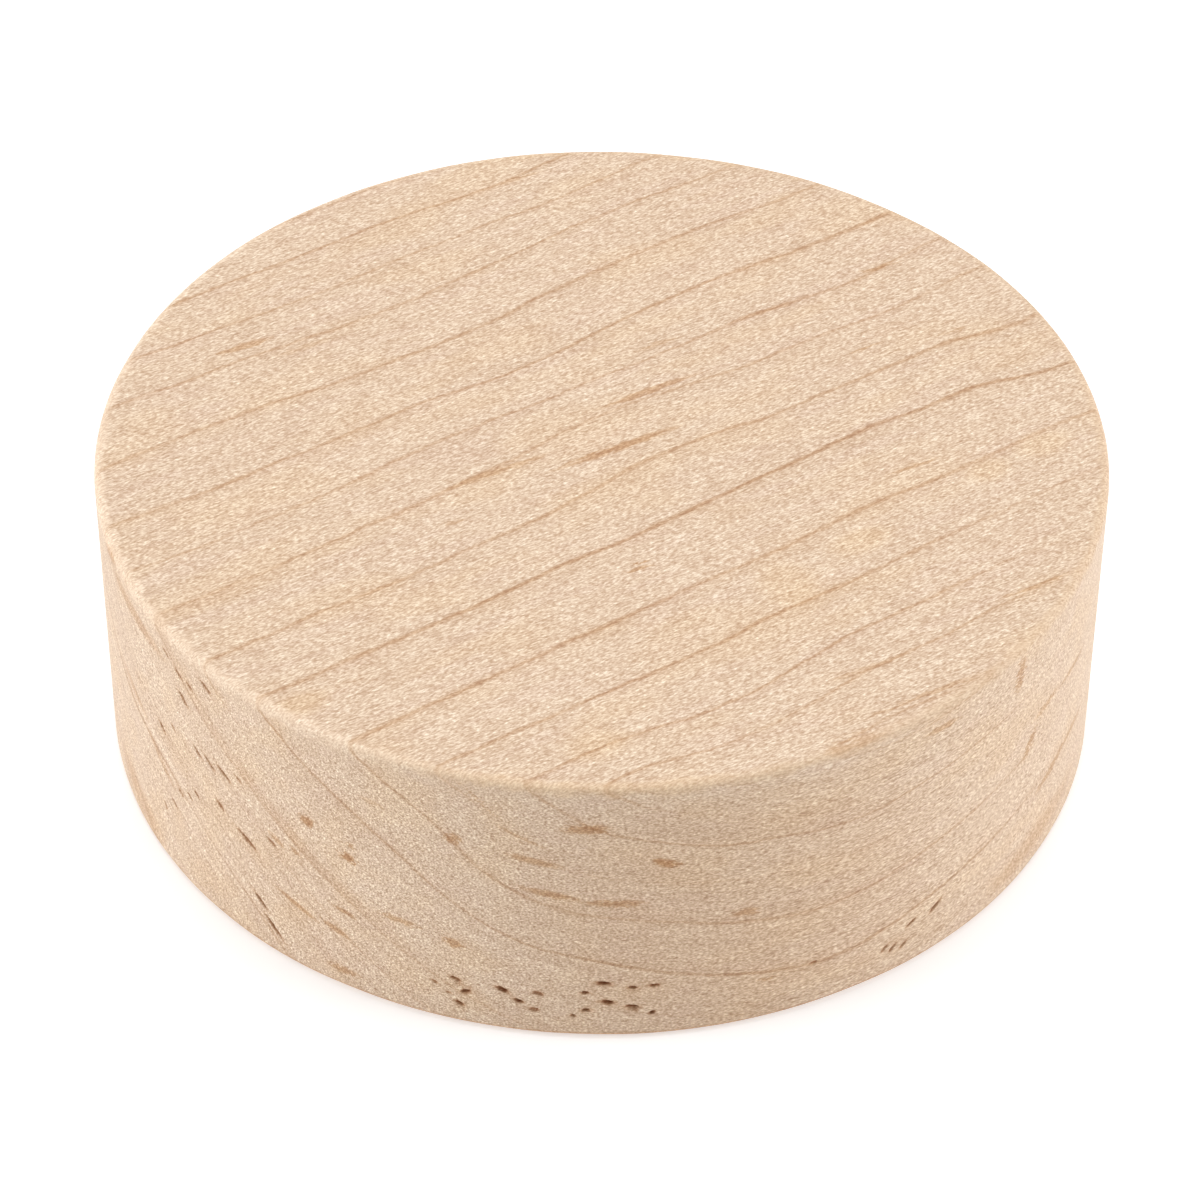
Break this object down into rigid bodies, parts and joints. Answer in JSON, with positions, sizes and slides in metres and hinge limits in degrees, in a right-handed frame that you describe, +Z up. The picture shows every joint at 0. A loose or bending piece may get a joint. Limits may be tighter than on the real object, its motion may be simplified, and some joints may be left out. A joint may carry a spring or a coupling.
{
  "type": "dealer button",
  "caption": "Plain round wooden token with flat faces and lightly eased edges, passed round a card table to mark the dealer.",
  "frame": {"origin": "centre of the flat underside, which rests on the table", "axes": "+Z up, along the disc's axis and through the middle of the top face; the wood's fibres run in the XY plane at 30 degrees from +X towards +Y"},
  "size_m": [0.0636, 0.0636, 0.0206],
  "materials": {
    "maple": "bare sanded hard maple, matt"
  },
  "bodies": {
    "root": {"button_disc": "maple"}
  },
  "joints": []
}
